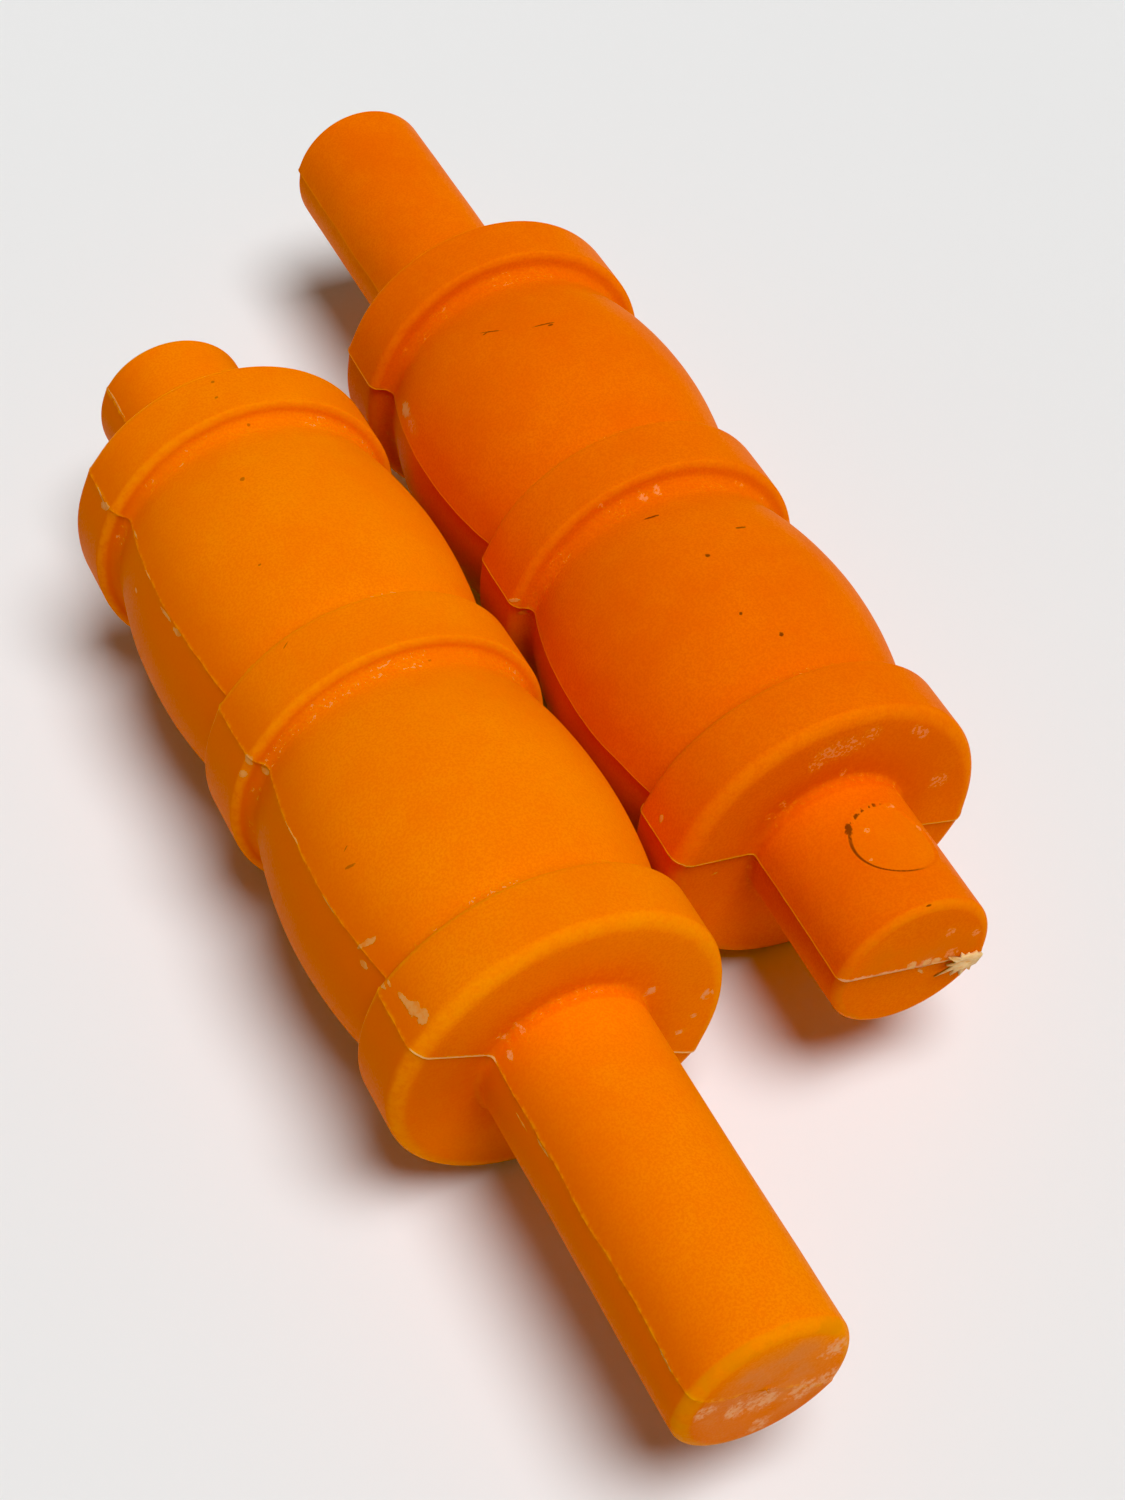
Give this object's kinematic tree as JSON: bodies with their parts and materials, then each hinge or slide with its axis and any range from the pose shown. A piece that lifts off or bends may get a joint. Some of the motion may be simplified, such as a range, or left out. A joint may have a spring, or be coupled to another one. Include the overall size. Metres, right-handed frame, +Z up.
{
  "type": "cricket bail pair",
  "caption": "Pair of one-piece moulded plastic cricket bails, each a ringed barrel with a long and a short spigot, lying side by side and head to tail.",
  "frame": {"origin": "on the surface that the bails lie on, under the middle of the pair's bounding box", "axes": "+Z up; Y along the bails' axes, with the left bail's long spigot towards -Y and the right bail's towards +Y; +X from the left bail to the right one"},
  "size_m": [0.0456, 0.1088, 0.0221],
  "materials": {
    "bail_left_plastic": "satin as-moulded plastic, yellowish orange",
    "bail_right_plastic": "satin as-moulded plastic, redder orange"
  },
  "bodies": {
    "bail_left": {"bail_left": "bail_left_plastic"},
    "bail_right": {"bail_right": "bail_right_plastic"}
  },
  "joints": [
    {"name": "bail_right_lift", "type": "slide", "parent": "bail_left", "child": "bail_right", "axis": [0, 0, 1], "range_m": [0, 0.05]}
  ]
}
